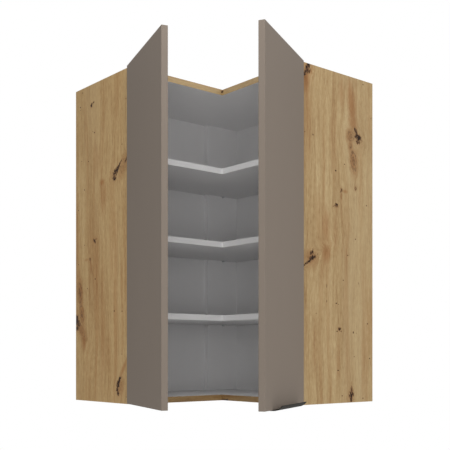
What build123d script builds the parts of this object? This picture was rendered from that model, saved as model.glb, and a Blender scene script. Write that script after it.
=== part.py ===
from build123d import *
from math import cos, radians, sin, hypot, atan2, degrees
import os

# Corner wall cabinet for a fitted kitchen, both doors open. Millimetres.
# Origin: the room corner at the cabinet's underside. +X runs along the right
# wall, -Y along the left wall, +Z is up.

# ---- carcass -------------------------------------------------------------
leg = 600.0                 # each wall side, measured from the room corner
height = 891.0
depth = 288.0               # carcass depth on both legs
board = 16.0                # faced chipboard
back = 3.0                  # hardboard back
rebate_w = 8.0              # back let into the side panels' rear edges
post_w = 124.0              # upright board on the left wall beside the corner

shelf_play = 1.0            # shelf to carcass
shelf_levels = {"lower": 228.0, "middle": 438.5, "upper": 649.0}

# ---- doors ---------------------------------------------------------------
door_t = 16.0
door_gap = 2.0              # carcass front edge to door back
side_reveal = 2.0           # door edge inside the side panel's outer face
bottom_reveal = 2.5
top_reveal = 3.5
left_door_w = 296.0
right_door_w = 289.0
door_edge = 0.6             # softened edge of the faced board
left_open = 107.9           # opening angle at rest, degrees
right_open = 117.1

# ---- hinges: positions as (inward from the side panel's outer face,
#      forward from the carcass front edge), doors closed ------------------
hinge_inset = 100.0         # hinge centre from each door end
swing_axis = (-0.7, 3.7)    # line that each door turns about
cup_arm = (15.2, 1.8)       # swing axis to the pin in the cup
arm_offset = (24.0, -8.0)   # swing axis to the pin in the arm
elbow = (8.0, 1.5)          # bend of the outer link, from its cup pin
cup_pin = (swing_axis[0] + cup_arm[0], swing_axis[1] + cup_arm[1])
arm_pin = (swing_axis[0] + arm_offset[0], swing_axis[1] + arm_offset[1])
pin_r = 1.4
pin_bore = 1.75
link_half = 5.0             # half width of outer link and arm nose
outer_link_w = 4.8
cheek_in = 5.6              # inner link cheeks, inside and outside
cheek_out = 7.2
inner_link_w = 4.6
rivet_r = 2.0
rivet_h = 0.5
lug_in = 8.6                # lugs inside the cup
lug_out = 10.6
lug_r = 3.0
lug_lean = 3.0              # foot of each lug, inward of its pin
cup_edge = 22.5             # cup centre from the door edge
pocket_r = 17.5
pocket_deep = 12.5
cup_r = 17.1
cup_bore = 16.0
cup_deep = 11.5
cup_floor = 1.2
flange_t = 1.2
flange_r = 19.0
ear_z = 24.0
ear_off = 6.0
ear_r = 5.5
cup_screw_r = 1.6
cup_screw_head = 3.0
cup_screw_len = 12.0
cup_pilot = 1.8
nose_r = 3.0
nose_root = (24.6, -13.0)
arm_front = -8.0
arm_rear = -62.0
arm_low = 19.0
arm_top = 27.5
arm_wall = 1.2
arm_half = 8.5
plate_t = 1.6
plate_half = 8.0
plate_front = -14.0
row_line = 37.0             # hole row from the carcass front edge
wing_z = 16.0
wing_r = 6.5
block_half = 6.8
block_front = -20.0
block_rear = -58.0
arm_screws = (-28.0, -50.0)
arm_screw_r = 2.0
arm_screw_bore = 2.4
arm_screw_head = 3.6
arm_screw_cap = 1.8
arm_screw_tip = 20.0
euro_r = 2.9
euro_bore = 3.1
euro_len = 11.5
euro_head = 4.4
euro_cap = 1.6
screw_slot = 1.0
slot_deep = 1.0
cone_sides = 8

# ---- shelf pins and joints ----------------------------------------------
peg_r = 2.4
peg_bore = 2.6
peg_deep = 10.0
peg_out = 8.0
peg_flat = 0.6              # flat on top of each pin, under the shelf
rear_line = 40.0            # rear hole row from the wall plane
post_line = 64.0
cam_at = (40.0, 240.0)      # from the carcass front edge
dowel_at = (72.0, 208.0)
cam_in = 24.0               # cam centre from the panel end
cam_r = 7.3
cam_pocket = 7.5
cam_h = 12.0
cam_slot = 8.0
bolt_r = 2.5
bolt_bore = 2.7
bolt_deep = 10.5
bolt_neck_bore = 4.0
bolt_head = 3.4
bolt_head_l = 3.0
dowel_r = 4.0
dowel_bore = 4.2
dowel_side = 11.0
dowel_end = 22.0
post_screw_r = 2.4
post_screw_bore = 2.6
post_screw_head = 4.6
post_screw_len = 50.0

# ---- cabinet hangers -----------------------------------------------------
hanger_h = 62.0
hanger_w = 18.0
hanger_d = 40.0
hanger_wall = 2.0
hook_t = 2.0
hook_play = 0.3             # hook to the housing's walls
hook_drop = 14.0
hook_reach = 24.0
hook_leg = 3.0
hook_tail = 26.0
hook_below = 8.0            # hook top under the cut-out's top edge
hook_lip = 2.0
adjust_r = 3.0
cut_h = 56.0                # cut-out in the back, as wide as the hanger
cut_top = 24.0              # cut-out top edge below the cabinet top

# ---- grip on the right door ----------------------------------------------
grip_len = 185.0
grip_from_end = 52.0        # from the door's free end
grip_low = 0.8              # underside above the carcass underside
grip_reach = 24.0           # in front of the door face
grip_top = 13.4
grip_wall = 1.8
grip_flange_t = 1.4
grip_flange_h = 26.0
grip_screw_z = 16.0
grip_screw_r = 1.5
grip_pilot = 1.7
grip_screw_head = 2.8
grip_screw_len = 13.0
grip_screw_in = 20.0        # from the grip's ends
grip_foot = 2.0             # flat part in front of the door face

buffer_r = 4.0
buffer_t = 1.8
buffer_in = 13.0            # from the door's free end
buffer_z = 8.0              # from the door's top and bottom ends

door_h = height - bottom_reveal - top_reveal
door_mid = bottom_reveal + door_h / 2
hinge_z = (bottom_reveal + hinge_inset, bottom_reveal + door_h - hinge_inset)
inner_h = height - 2 * board
os.makedirs("parts", exist_ok=True)


def save(piece, name):
    """Name the solid and write its file."""
    piece.part.label = name
    export_step(piece.part, "parts/" + name + ".step")


def turned(point, about, angle):
    """Point turned by the angle, in degrees, about another point."""
    x, y = point[0] - about[0], point[1] - about[1]
    c, s = cos(radians(angle)), sin(radians(angle))
    return (about[0] + x * c - y * s, about[1] + x * s + y * c)


def corner_frame(side, z, angle=0.0, about=(0.0, 0.0), at=(0.0, 0.0)):
    """Plane whose x runs inward from a side panel's outer face and whose y
    runs forward from the carcass front edge, turned about a point."""
    a, b = turned(at, about, angle)
    da, db = cos(radians(angle)), sin(radians(angle))
    if side == "left":
        return Plane(origin=(depth + b, a - leg, z), x_dir=(db, da, 0), z_dir=(0, 0, -1))
    return Plane(origin=(leg - a, -depth - b, z), x_dir=(-da, -db, 0), z_dir=(0, 0, 1))


def facing(frame, a, b, z=0.0):
    """Plane at a point of a frame, looking forward (normal along its y)."""
    return Plane(origin=frame.from_local_coords((a, b, z)), x_dir=frame.x_dir, z_dir=frame.y_dir)


def inward(frame, a, b, z=0.0):
    """Plane at a point of a frame, looking inward (normal along its x)."""
    return Plane(origin=frame.from_local_coords((a, b, z)), x_dir=frame.y_dir, z_dir=frame.x_dir)


def disc(radius, sides, hole=False, turn=0.0, mode=Mode.ADD):
    """Round outline of few sides: a shaft's lies inside its radius, a hole's outside."""
    RegularPolygon(radius, sides, major_radius=not hole, rotation=turn, mode=mode)


def bar(p, q, width):
    """Bar with rounded ends between two points of the current sketch."""
    dx, dy = q[0] - p[0], q[1] - p[1]
    turn = degrees(atan2(dy, dx))
    with Locations(((p[0] + q[0]) / 2, (p[1] + q[1]) / 2)):
        Rectangle(hypot(dx, dy), width, rotation=turn)
    with Locations(p, q):
        disc(width / 2, 12, hole=True, turn=turn + 15)


def rod(plane, radius, start, end, mode=Mode.ADD, sides=8):
    """Shaft or bore along a plane's normal, between two distances from it."""
    with BuildSketch(plane.offset(start)) as outline:
        disc(radius, sides, hole=mode == Mode.SUBTRACT)
    extrude(outline.sketch, amount=end - start, mode=mode)


def cone(plane, start, wide, end, narrow, mode=Mode.ADD):
    """Countersunk head or seat of flat sides, between two distances along a
    plane's normal."""
    turn = 360 / cone_sides
    spread = 1 / cos(radians(turn / 2)) if mode == Mode.SUBTRACT else 1.0
    rings = []
    for along, radius in ((start, wide), (end, narrow)):
        spokes = [(cos(radians(k * turn)), sin(radians(k * turn))) for k in range(cone_sides)]
        rings.append([plane.from_local_coords((radius * spread * c, radius * spread * s, along))
                      for c, s in spokes])
    low, high = rings
    walls = [Face(Wire.make_polygon([low[k - 1], low[k], high[k], high[k - 1]]))
             for k in range(cone_sides)]
    ends = [Face(Wire.make_polygon(low)), Face(Wire.make_polygon(high))]
    add(Solid(Shell(walls + ends)), mode=mode)


def slot_cut(plane, length, width, deep):
    """Screwdriver slot cut down from a head's face."""
    with BuildSketch(plane) as mouth:
        Rectangle(length, width)
    extrude(mouth.sketch, amount=-deep, mode=Mode.SUBTRACT)


def flat_screw(at, radius, head, length, sunk):
    """Countersunk screw: its head's face is sunk a little below the plane."""
    cone(at, sunk, head, sunk + head - radius, radius)
    rod(at, radius, sunk + (head - radius) * 0.8, length)


# ---- side panels -----------------------------------------------------------
# Each stands full height, with the back's rebate behind, the hinge and shelf
# pin holes inside and the cam bolt and dowel holes at both ends.
def side_panel(side):
    f = corner_frame(side, height / 2)
    with BuildPart() as panel:
        with BuildSketch(f):
            with Locations((board / 2, -depth / 2)):
                Rectangle(board, depth)
            with Locations((board - rebate_w / 2, -depth + back / 2)):
                Rectangle(rebate_w, back, mode=Mode.SUBTRACT)
        extrude(amount=height / 2, both=True)
        for z in hinge_z:
            for dz in (-wing_z, wing_z):
                at = inward(corner_frame(side, z + dz), board, -row_line)
                rod(at, euro_bore, -euro_len - 0.5, 0, Mode.SUBTRACT)
        for z in shelf_levels.values():
            for b in (-row_line, rear_line - depth):
                at = inward(corner_frame(side, z - peg_r + peg_flat), board, b)
                rod(at, peg_bore, -peg_deep, 0, Mode.SUBTRACT)
        for z in (board / 2, height - board / 2):
            for b in cam_at:
                rod(inward(corner_frame(side, z), board, -b), bolt_bore, -bolt_deep, 0, Mode.SUBTRACT)
            for b in dowel_at:
                rod(inward(corner_frame(side, z), board, -b), dowel_bore, -dowel_side, 0, Mode.SUBTRACT)
    return panel


# ---- top and bottom panels --------------------------------------------------
# L-shaped boards between the side panels, joined by cams let into the face
# that is out of sight, by bolts and by dowels.
def end_panel(z0, cam_face):
    with BuildPart() as panel:
        with BuildSketch(Plane.XY.offset(z0)):
            with BuildLine():
                Polyline((back, board - leg), (depth, board - leg), (depth, -depth),
                         (leg - board, -depth), (leg - board, -back), (back, -back), close=True)
            make_face()
        extrude(amount=board)
        for side in ("left", "right"):
            f = corner_frame(side, z0 + board / 2)
            for b in cam_at:
                rod(inward(f, board, -b), bolt_neck_bore, 0, cam_in, Mode.SUBTRACT)
                top = Plane(origin=f.from_local_coords((board + cam_in, -b, 0)), z_dir=(0, 0, cam_face))
                rod(top, cam_pocket, board / 2 - cam_h - 0.5, board / 2, Mode.SUBTRACT, sides=12)
            for b in dowel_at:
                rod(inward(f, board, -b), dowel_bore, 0, dowel_end, Mode.SUBTRACT)
        for y in (post_w / 4, post_w * 3 / 4):
            hole = Plane(origin=(back + board / 2, -back - y, z0 + board / 2), z_dir=(0, 0, cam_face))
            rod(hole, post_screw_bore, -board / 2, board / 2, Mode.SUBTRACT)
            cone(hole, board / 2, post_screw_head + 0.4,
                 board / 2 - post_screw_head + post_screw_bore - 0.9, post_screw_bore, Mode.SUBTRACT)
    return panel


# ---- back boards, with the hangers' cut-outs ---------------------------------
def back_board(side):
    near = 0.0 if side == "right" else back
    f = corner_frame(side, 0.0)
    with BuildPart() as board_back:
        with BuildSketch(Plane.XY):
            with BuildLine():
                if side == "right":
                    Polyline((0, 0), (leg - board + rebate_w, 0), (leg - board + rebate_w, -back),
                             (0, -back), close=True)
                else:
                    Polyline((0, -near), (back, -near), (back, board - rebate_w - leg),
                             (0, board - rebate_w - leg), close=True)
            make_face()
        extrude(amount=height)
        centre = f.from_local_coords((board + hanger_w / 2, -depth + back / 2, 0))
        with BuildSketch(Plane(origin=(centre.X, centre.Y, height - cut_top), z_dir=(0, 0, -1))):
            if side == "left":
                Rectangle(back * 2, hanger_w)
            else:
                Rectangle(hanger_w, back * 2)
        extrude(amount=cut_h, mode=Mode.SUBTRACT)
    return board_back


# ---- upright board beside the corner -----------------------------------------
with BuildPart() as corner_post:
    with BuildSketch(Plane.XY.offset(board)):
        with Locations((back + board / 2, -back - post_w / 2)):
            Rectangle(board, post_w)
    extrude(amount=inner_h)
    for z in shelf_levels.values():
        at = Plane(origin=(back + board, -post_line, z - peg_r + peg_flat), z_dir=(1, 0, 0))
        rod(at, peg_bore, -peg_deep, 0, Mode.SUBTRACT)
    for y in (post_w / 4, post_w * 3 / 4):
        for z, way in ((board, 1), (height - board, -1)):
            at = Plane(origin=(back + board / 2, -back - y, z), z_dir=(0, 0, way))
            rod(at, post_screw_bore, 0, post_screw_len - board + 1, Mode.SUBTRACT)


# ---- shelves: L-shaped, cut round the post ------------------------------------
def shelf(z0):
    low, far = back + shelf_play, leg - board - shelf_play
    with BuildPart() as plank:
        with BuildSketch(Plane.XY.offset(z0)):
            with BuildLine():
                Polyline((low, -far), (depth, -far), (depth, -depth), (far, -depth), (far, -low),
                         (low + board, -low), (low + board, -low - post_w), (low, -low - post_w), close=True)
            make_face()
        extrude(amount=board)
    return plank


# ---- shelf pins: one set for all shelves ---------------------------------------
def peg(at):
    rod(at, peg_r, -peg_deep + 0.5, peg_out)
    with BuildSketch(at.offset(0.3)) as flat:
        with Locations((0, peg_r)):
            Rectangle(peg_r * 2, peg_flat * 2)
    extrude(flat.sketch, amount=peg_out, mode=Mode.SUBTRACT)


with BuildPart() as shelf_pins:
    for z in shelf_levels.values():
        zc = z - peg_r + peg_flat
        for side in ("left", "right"):
            for b in (-row_line, rear_line - depth):
                f = corner_frame(side, zc)
                origin = f.from_local_coords((board, b, 0))
                peg(Plane(origin=origin, x_dir=Vector(0, 0, 1).cross(f.x_dir), z_dir=f.x_dir))
        peg(Plane(origin=(back + board, -post_line, zc), x_dir=(0, 1, 0), z_dir=(1, 0, 0)))

# ---- cams, cam bolts and dowels of the carcass joints ----------------------------
with BuildPart() as cam_locks:
    for z, face in ((board / 2, -1), (height - board / 2, 1)):
        for side in ("left", "right"):
            f = corner_frame(side, z)
            for b in cam_at:
                top = Plane(origin=f.from_local_coords((board + cam_in, -b, 0)), z_dir=(0, 0, face))
                rod(top, cam_r, board / 2 - cam_h, board / 2 - 0.3, sides=12)
                with BuildSketch(inward(f, board + cam_in - cam_r - 1, -b)):
                    Rectangle(cam_slot, cam_slot)
                extrude(amount=cam_r + 1 + bolt_head_l, mode=Mode.SUBTRACT)
                slot_cut(top.offset(board / 2 - 0.3), cam_r, screw_slot, slot_deep)

with BuildPart() as cam_bolts:
    for z in (board / 2, height - board / 2):
        for side in ("left", "right"):
            for b in cam_at:
                at = inward(corner_frame(side, z), board, -b)
                rod(at, bolt_r, -bolt_deep + 0.5, cam_in)
                rod(at, bolt_head, cam_in - bolt_head_l, cam_in)

with BuildPart() as dowels:
    for z in (board / 2, height - board / 2):
        for side in ("left", "right"):
            for b in dowel_at:
                rod(inward(corner_frame(side, z), board, -b), dowel_r, -dowel_side + 0.5, dowel_end - 1)

with BuildPart() as post_screws:
    for y in (post_w / 4, post_w * 3 / 4):
        for z, way in ((0.0, 1), (height, -1)):
            at = Plane(origin=(back + board / 2, -back - y, z), z_dir=(0, 0, way))
            flat_screw(at, post_screw_r, post_screw_head, post_screw_len, 0.3)


# ---- cabinet hangers --------------------------------------------------------------
# A housing in each top rear corner holds a steel hook that bears on a plate
# on the wall through the cut-out, and two screws that lift and draw it.
def hanger_frame(side):
    return corner_frame(side, height - board - hanger_h / 2)


def hanger_housing(side):
    f = hanger_frame(side)
    near, rear = board, -depth + back
    with BuildPart() as housing:
        with BuildSketch(f):
            with Locations((near + hanger_w / 2, rear + hanger_d / 2)):
                Rectangle(hanger_w, hanger_d)
        extrude(amount=hanger_h / 2, both=True)
        with BuildSketch(f):
            with Locations((near + hanger_w / 2, rear + (hanger_d - hanger_wall) / 2)):
                Rectangle(hanger_w - 2 * hanger_wall, hanger_d - hanger_wall)
        extrude(amount=hanger_h / 2 - hanger_wall, both=True, mode=Mode.SUBTRACT)
        for dz in (-hanger_h / 4, hanger_h / 4):
            at = facing(corner_frame(side, height - board - hanger_h / 2 + dz), near + hanger_w / 2,
                        rear + hanger_d)
            rod(at, adjust_r + 0.4, -hanger_wall - 1, 1, Mode.SUBTRACT)
    return housing


def hanger_hook(side):
    f = hanger_frame(side)
    rear = -depth + 0.5
    hook_w = hanger_w - 2 * hanger_wall - 2 * hook_play
    z_hook = -cut_top + board + hanger_h / 2 - hook_below
    with BuildPart() as hook:
        with BuildSketch(inward(f, board + hanger_w / 2, 0)) as section:
            up = 1 if side == "right" else -1
            with BuildLine():
                Polyline((rear, up * (z_hook - hook_drop)), (rear + hook_lip, up * (z_hook - hook_drop)),
                         (rear + hook_lip, up * (z_hook - hook_t)),
                         (rear + hook_reach, up * (z_hook - hook_t)),
                         (rear + hook_reach, up * (z_hook - hook_tail)),
                         (rear + hook_reach + hook_leg, up * (z_hook - hook_tail)),
                         (rear + hook_reach + hook_leg, up * z_hook), (rear, up * z_hook), close=True)
            make_face()
        extrude(amount=hook_w / 2, both=True)
    return hook


with BuildPart() as hanger_screws:
    for side in ("left", "right"):
        for dz in (-hanger_h / 4, hanger_h / 4):
            f = corner_frame(side, height - board - hanger_h / 2 + dz)
            at = facing(f, board + hanger_w / 2, -depth + back + hanger_d)
            rod(at, adjust_r, -8.0, 1.2)
            slot_cut(at.offset(1.2), adjust_r * 2 - 1.6, screw_slot, slot_deep)


# ---- hinges -------------------------------------------------------------------------
# The inner link turns on the arm's pin as much as the door does, and the outer
# link stays parallel to itself, so that the cup's pin goes round the swing axis.
def mounting_plate(side, z):
    f = corner_frame(side, z)
    with BuildPart() as plate:
        with BuildSketch(inward(f, board, 0)):
            with Locations(((plate_front + arm_rear) / 2, 0)):
                Rectangle(plate_front - arm_rear, 2 * plate_half)
            bar((-row_line, -wing_z), (-row_line, wing_z), 2 * wing_r)
            with Locations((-row_line, -wing_z), (-row_line, wing_z)):
                disc(euro_bore, 8, hole=True, mode=Mode.SUBTRACT)
        extrude(amount=plate_t)
        with BuildSketch(inward(f, board + plate_t, 0)):
            with Locations(((block_front + block_rear) / 2, 0)):
                Rectangle(block_front - block_rear, 2 * block_half)
        extrude(amount=arm_top - arm_wall - board - plate_t)
        for b in arm_screws:
            rod(inward(f, board, b), arm_screw_bore, 2.0, arm_top - board, Mode.SUBTRACT)
    return plate


def hinge_arm(side, z):
    f = corner_frame(side, z)
    with BuildPart() as arm:
        with BuildSketch(inward(f, arm_low, 0)):
            with Locations(((arm_front + arm_rear) / 2, 0)):
                Rectangle(arm_front - arm_rear, 2 * arm_half)
        extrude(amount=arm_top - arm_low)
        with BuildSketch(inward(f, arm_low, 0)):
            with Locations(((arm_front + arm_rear) / 2, 0)):
                Rectangle(arm_front - arm_rear + 2, 2 * (arm_half - arm_wall))
        extrude(amount=arm_top - arm_low - arm_wall, mode=Mode.SUBTRACT)
        with BuildSketch(f.offset(-link_half)):
            bar(arm_pin, nose_root, 2 * nose_r)
        extrude(amount=2 * link_half)
        with BuildSketch(f.offset(-link_half - 1)):
            with Locations(arm_pin):
                Circle(pin_bore)
        extrude(amount=2 * link_half + 2, mode=Mode.SUBTRACT)
        for b in arm_screws:
            rod(inward(f, board, b), arm_screw_bore, 0, arm_top, Mode.SUBTRACT)
    return arm


def inner_link(side, z, angle):
    f = corner_frame(side, z, angle, arm_pin, arm_pin)
    with BuildPart() as link:
        for low in (-cheek_out, cheek_in):
            with BuildSketch(f.offset(low)):
                bar((0, 0), cup_arm, inner_link_w)
            extrude(amount=cheek_out - cheek_in)
        with BuildSketch(f.offset(-cheek_in)):
            with Locations((0, 0), cup_arm):
                disc(pin_r, 12)
        extrude(amount=2 * cheek_in)
        for low in (-cheek_out - rivet_h, cheek_out):
            with BuildSketch(f.offset(low)):
                with Locations((0, 0), cup_arm):
                    disc(rivet_r, 8)
            extrude(amount=rivet_h)
    return link


def outer_link(side, z, angle):
    f = corner_frame(side, z, 0.0, (0.0, 0.0), turned(cup_pin, swing_axis, angle))
    with BuildPart() as link:
        with BuildSketch(f.offset(-link_half)):
            bar((0, 0), elbow, outer_link_w)
            bar(elbow, arm_offset, outer_link_w)
            with Locations(arm_offset):
                Circle(pin_bore, mode=Mode.SUBTRACT)
        extrude(amount=2 * link_half)
        with BuildSketch(f.offset(-lug_out + 0.2)):
            disc(pin_r, 12)
        extrude(amount=2 * lug_out - 0.4)
    return link


def hinge_cup(side, z, angle):
    f = corner_frame(side, z, angle, swing_axis)
    centre = side_reveal + cup_edge
    at = facing(f, centre, door_gap)
    with BuildPart() as cup:
        rod(at, cup_r, -flange_t, cup_deep, sides=20)
        with BuildSketch(at.offset(-flange_t)):
            disc(flange_r, 24)
            bar((ear_off, -ear_z), (ear_off, ear_z), 2 * ear_r)
        extrude(amount=flange_t)
        rod(at, cup_bore, -flange_t, cup_deep - cup_floor, Mode.SUBTRACT, sides=24)
        for low in (-lug_out, lug_in):
            with BuildSketch(f.offset(low)):
                bar(cup_pin, (cup_pin[0] + lug_lean, door_gap + cup_deep - lug_r), 2 * lug_r)
            extrude(amount=lug_out - lug_in)
        for low in (-lug_out, lug_in):
            with BuildSketch(f.offset(low)):
                with Locations(cup_pin):
                    disc(pin_bore, 12, hole=True)
            extrude(amount=lug_out - lug_in, mode=Mode.SUBTRACT)
        for dz in (-ear_z, ear_z):
            hole = facing(f, centre + ear_off, door_gap - flange_t, dz)
            cone(hole, 0, cup_screw_head + 0.15, flange_t, cup_screw_head + 0.15 - flange_t, Mode.SUBTRACT)
    return cup


# ---- door panels ------------------------------------------------------------------
def door_panel(side, width, angle):
    f = corner_frame(side, door_mid, angle, swing_axis)
    with BuildPart() as panel:
        with BuildSketch(f):
            with Locations((side_reveal + width / 2, door_gap + door_t / 2)):
                Rectangle(width, door_t)
        extrude(amount=door_h / 2, both=True)
        chamfer(panel.edges(), door_edge)
        for z in hinge_z:
            cup_at = facing(corner_frame(side, z, angle, swing_axis), side_reveal + cup_edge, door_gap)
            rod(cup_at, pocket_r, 0, pocket_deep, Mode.SUBTRACT, sides=20)
            for dz in (-ear_z, ear_z):
                at = facing(corner_frame(side, z + dz, angle, swing_axis),
                            side_reveal + cup_edge + ear_off, door_gap)
                rod(at, cup_pilot, 0, cup_screw_len, Mode.SUBTRACT)
        if side == "right":
            for a in grip_screw_at:
                at = facing(corner_frame(side, grip_screw_z, angle, swing_axis), a, door_gap)
                rod(at, grip_pilot, 0, grip_screw_len, Mode.SUBTRACT)
    return panel


grip_end = side_reveal + right_door_w - grip_from_end
grip_start = grip_end - grip_len
grip_screw_at = (grip_start + grip_screw_in, (grip_start + grip_end) / 2, grip_end - grip_screw_in)

# ---- grip profile: hooked under the right door's bottom edge -------------------------
grip_frame = corner_frame("right", 0.0, right_open, swing_axis)
face_b = door_gap + door_t
with BuildPart() as handle_grip:
    with BuildSketch(inward(grip_frame, grip_start, 0)):
        foot_b, back_b = face_b + grip_foot, door_gap - grip_flange_t
        nose_b = face_b + grip_reach
        with BuildLine():
            flange = Polyline((foot_b, grip_low), (back_b, grip_low), (back_b, grip_low + grip_flange_h),
                              (door_gap, grip_low + grip_flange_h), (door_gap, bottom_reveal),
                              (foot_b, bottom_reveal))
            inner = TangentArc(flange @ 1, (nose_b - grip_wall, grip_top), tangent=(1, 0))
            tip = Line(inner @ 1, (nose_b, grip_top))
            TangentArc(flange @ 0, tip @ 1, tangent=(1, 0))
        make_face()
    extrude(amount=grip_len)
    for a in grip_screw_at:
        hole = facing(grip_frame, a, door_gap - grip_flange_t, grip_screw_z)
        cone(hole, 0, grip_screw_head + 0.15, grip_flange_t, grip_screw_head + 0.15 - grip_flange_t,
             Mode.SUBTRACT)


with BuildPart() as handle_screws:
    for a in grip_screw_at:
        at = facing(grip_frame, a, door_gap - grip_flange_t, grip_screw_z)
        flat_screw(at, grip_screw_r, grip_screw_head - 0.1, grip_screw_len, 0.05)


def cup_screws(side, angle):
    with BuildPart() as screws:
        for z in hinge_z:
            for dz in (-ear_z, ear_z):
                f = corner_frame(side, z + dz, angle, swing_axis)
                at = facing(f, side_reveal + cup_edge + ear_off, door_gap - flange_t)
                flat_screw(at, cup_screw_r, cup_screw_head - 0.1, cup_screw_len, 0.05)
    return screws


def buffers(side, width, angle):
    with BuildPart() as pads:
        for z in (bottom_reveal + buffer_z, bottom_reveal + door_h - buffer_z):
            f = corner_frame(side, z, angle, swing_axis)
            at = facing(f, side_reveal + width - buffer_in, door_gap)
            rod(at, buffer_r, -buffer_t, 0, sides=12)
    return pads


with BuildPart() as plate_screws:
    for side in ("left", "right"):
        for z in hinge_z:
            for dz in (-wing_z, wing_z):
                at = inward(corner_frame(side, z + dz), board, -row_line)
                rod(at, euro_r, -euro_len, plate_t)
                rod(at, euro_head, plate_t, plate_t + euro_cap)

with BuildPart() as arm_screws_set:
    for side in ("left", "right"):
        for z in hinge_z:
            for b in arm_screws:
                at = inward(corner_frame(side, z), 0, b)
                rod(at, arm_screw_r, arm_screw_tip, arm_top)
                rod(at, arm_screw_head, arm_top, arm_top + arm_screw_cap)

# ---- write every piece -----------------------------------------------------------------
for side, angle, width in (("left", left_open, left_door_w), ("right", right_open, right_door_w)):
    save(side_panel(side), side + "_side_panel")
    save(back_board(side), side + "_back_panel")
    save(hanger_housing(side), side + "_hanger_housing")
    save(hanger_hook(side), side + "_hanger_hook")
    save(door_panel(side, width, angle), side + "_door_panel")
    save(cup_screws(side, angle), side + "_cup_screws")
    save(buffers(side, width, angle), side + "_door_buffers")
    for level, z in zip(("lower", "upper"), hinge_z):
        tag = side + "_" + level
        save(mounting_plate(side, z), tag + "_hinge_plate")
        save(hinge_arm(side, z), tag + "_hinge_arm")
        save(inner_link(side, z, angle), tag + "_hinge_inner_link")
        save(outer_link(side, z, angle), tag + "_hinge_outer_link")
        save(hinge_cup(side, z, angle), tag + "_hinge_cup")

save(end_panel(height - board, 1), "top_panel")
save(end_panel(0.0, -1), "bottom_panel")
save(corner_post, "corner_post")
for level, z in shelf_levels.items():
    save(shelf(z), "shelf_" + level)
save(shelf_pins, "shelf_pins")
save(cam_locks, "cam_locks")
save(cam_bolts, "cam_bolts")
save(dowels, "dowels")
save(post_screws, "post_screws")
save(hanger_screws, "hanger_screws")
save(plate_screws, "hinge_plate_screws")
save(arm_screws_set, "hinge_arm_screws")
save(handle_grip, "handle_grip")
save(handle_screws, "handle_screws")
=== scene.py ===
import math
import bmesh
import bpy
import numpy as np
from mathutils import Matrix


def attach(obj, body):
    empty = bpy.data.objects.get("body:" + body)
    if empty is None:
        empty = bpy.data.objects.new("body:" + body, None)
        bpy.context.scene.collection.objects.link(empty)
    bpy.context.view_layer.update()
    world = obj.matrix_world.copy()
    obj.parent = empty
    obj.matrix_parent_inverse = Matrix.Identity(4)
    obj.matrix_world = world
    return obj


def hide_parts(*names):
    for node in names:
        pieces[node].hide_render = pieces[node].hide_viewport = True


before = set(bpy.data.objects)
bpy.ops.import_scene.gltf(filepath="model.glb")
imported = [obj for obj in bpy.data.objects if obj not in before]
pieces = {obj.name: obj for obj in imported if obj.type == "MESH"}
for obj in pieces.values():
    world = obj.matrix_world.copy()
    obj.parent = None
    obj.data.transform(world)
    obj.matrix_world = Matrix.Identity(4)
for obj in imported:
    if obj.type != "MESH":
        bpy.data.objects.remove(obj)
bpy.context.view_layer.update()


# ---- Side panels ----------------------------------------------------------
# Two upright boards of 16 mm chipboard. Outside and along the front edge they
# wear a knotty oak decor, inside a white one; the top and rear ends are raw.
def new_finish(name, **fixed):
    """A material, its tree and shader, and the place on the object in metres.

    Fixed values go on the shader's own sockets.
    """
    finish = bpy.data.materials.new(name)
    finish.use_nodes = True
    tree = finish.node_tree
    shader = tree.nodes["Principled BSDF"]
    for socket, value in fixed.items():
        shader.inputs[socket.replace("_", " ")].default_value = value
    place = tree.nodes.new("ShaderNodeTexCoord").outputs["Object"]
    return finish, tree, shader, place


def add(tree, kind, *values, **settings):
    """Adds a node: a socket given for an input is linked, a number is set, None is left."""
    node = tree.nodes.new(kind)
    for key, value in settings.items():
        setattr(node, key, value)
    for i, value in enumerate(values):
        if isinstance(value, bpy.types.NodeSocket):
            tree.links.new(value, node.inputs[i])
        elif value is not None:
            node.inputs[i].default_value = value
    return node


def calc(tree, operation, *values, clamp=False):
    """One step of arithmetic; MULTIPLY_ADD is the first times the second plus the third."""
    return add(tree, "ShaderNodeMath", *values, operation=operation, use_clamp=clamp).outputs[0]


def spread(tree, value, low, high, to_low=0.0, to_high=1.0, smooth=False):
    """Carries the range low..high of a value over to to_low..to_high, clamped."""
    kind = "SMOOTHSTEP" if smooth else "LINEAR"
    return add(tree, "ShaderNodeMapRange", value, low, high, to_low, to_high,
               interpolation_type=kind).outputs[0]


def blend(tree, factor, first, second, kind="MIX"):
    """Mixes two colours by a factor; MULTIPLY stains the first with the second."""
    mix = tree.nodes.new("ShaderNodeMix")
    mix.data_type, mix.blend_type = "RGBA", kind
    for socket, value in ((mix.inputs[0], factor), (mix.inputs[6], first), (mix.inputs[7], second)):
        if isinstance(value, bpy.types.NodeSocket):
            tree.links.new(value, socket)
        else:
            socket.default_value = (*value, 1.0) if isinstance(value, tuple) else value
    return mix.outputs[2]


def scaled(tree, point, scale):
    """The point scaled by three numbers, one for each direction."""
    seen = add(tree, "ShaderNodeMapping", point, vector_type="POINT")
    seen.inputs["Scale"].default_value = scale
    return seen.outputs[0]


def speckle(tree, point, scale, detail=2.0, rough=0.5):
    """Noise value at a scaled point; one number scales all directions alike."""
    scale = scale if isinstance(scale, tuple) else (scale, scale, scale)
    return add(tree, "ShaderNodeTexNoise", scaled(tree, point, scale), None, 1.0, detail, rough).outputs[0]


def relief(tree, shader, height, depth, strength):
    """Lets the surface rise with the height, by the depth in metres where it is 1."""
    bump = add(tree, "ShaderNodeBump")
    bump.inputs["Strength"].default_value = strength
    bump.inputs["Distance"].default_value = depth
    tree.links.new(height, bump.inputs["Height"])
    tree.links.new(bump.outputs[0], shader.inputs["Normal"])


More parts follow.
